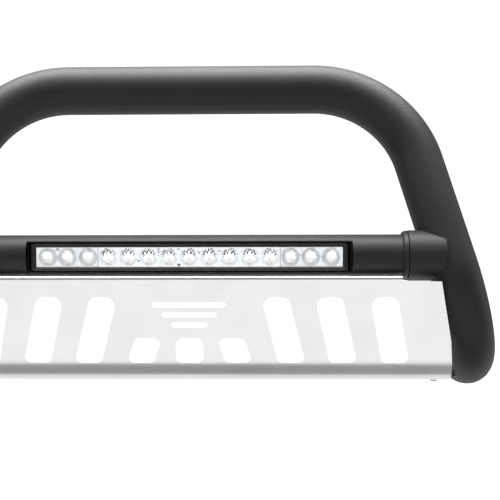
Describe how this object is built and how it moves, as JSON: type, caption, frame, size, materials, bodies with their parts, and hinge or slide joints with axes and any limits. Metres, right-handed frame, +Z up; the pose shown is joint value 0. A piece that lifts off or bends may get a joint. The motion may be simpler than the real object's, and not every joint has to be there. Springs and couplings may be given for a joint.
{
  "type": "front grille guard",
  "caption": "Black tube hoop that bolts in front of a truck grille, with a lamp bar in its turning cross tube and a slotted stainless skid plate below.",
  "frame": {"origin": "midway between the rear faces of the two mounting flanges, at the height of their centres", "axes": "+X along the guard, +Y back towards the vehicle, +Z up"},
  "size_m": [0.972, 0.303, 0.5256],
  "materials": {
    "black_coat": "satin textured powder coat",
    "brushed_stainless": "bright brushed stainless steel",
    "zinc_steel": "bright zinc plated steel",
    "black_nylon": "moulded black nylon",
    "black_rubber": "moulded black rubber",
    "black_aluminium": "black coated extruded aluminium",
    "clear_lens": "clear polycarbonate",
    "mirror_plating": "vacuum plated plastic reflector",
    "white_board": "white solder mask with yellow emitters"
  },
  "bodies": {
    "guard": {"hoop_tube": "black_coat", "mount_flange_left": "black_coat", "mount_flange_right": "black_coat", "socket_left": "black_coat", "socket_right": "black_coat", "upper_tab_left": "black_coat", "upper_tab_right": "black_coat", "lower_tab_left": "black_coat", "lower_tab_right": "black_coat", "clamp_screw_left_upper": "zinc_steel", "clamp_screw_left_lower": "zinc_steel", "clamp_screw_right_upper": "zinc_steel", "clamp_screw_right_lower": "zinc_steel", "plate_stud_left": "zinc_steel", "plate_stud_right": "zinc_steel", "stud_nut_left": "zinc_steel", "stud_nut_right": "zinc_steel", "lower_bolt_left": "zinc_steel", "lower_bolt_right": "zinc_steel", "lower_washer_left": "zinc_steel", "lower_washer_right": "zinc_steel", "lower_nut_left": "zinc_steel", "lower_nut_right": "zinc_steel", "skid_plate": "brushed_stainless", "bush_left": "black_nylon", "bush_right": "black_nylon"},
    "light_bar": {"light_tube": "black_coat", "pocket_frame": "black_coat", "lamp_housing": "black_aluminium", "lamp_bezel": "black_aluminium", "lamp_lens": "clear_lens", "lens_seal": "black_rubber", "reflector_spot": "mirror_plating", "reflector_flood_left": "mirror_plating", "reflector_flood_right": "mirror_plating", "led_board": "white_board", "lamp_end_cap_left": "black_aluminium", "lamp_end_cap_right": "black_aluminium", "cable_gland": "black_rubber", "lamp_bolt_left": "zinc_steel", "lamp_bolt_right": "zinc_steel", "cap_screw_left_upper": "zinc_steel", "cap_screw_left_lower": "zinc_steel", "cap_screw_right_upper": "zinc_steel", "cap_screw_right_lower": "zinc_steel"}
  },
  "joints": [
    {"name": "light_aim", "type": "hinge", "parent": "guard", "child": "light_bar", "pos_m": [0, -0.258, 0.182], "axis": [1, 0, 0], "range_deg": [-12, 12]}
  ]
}
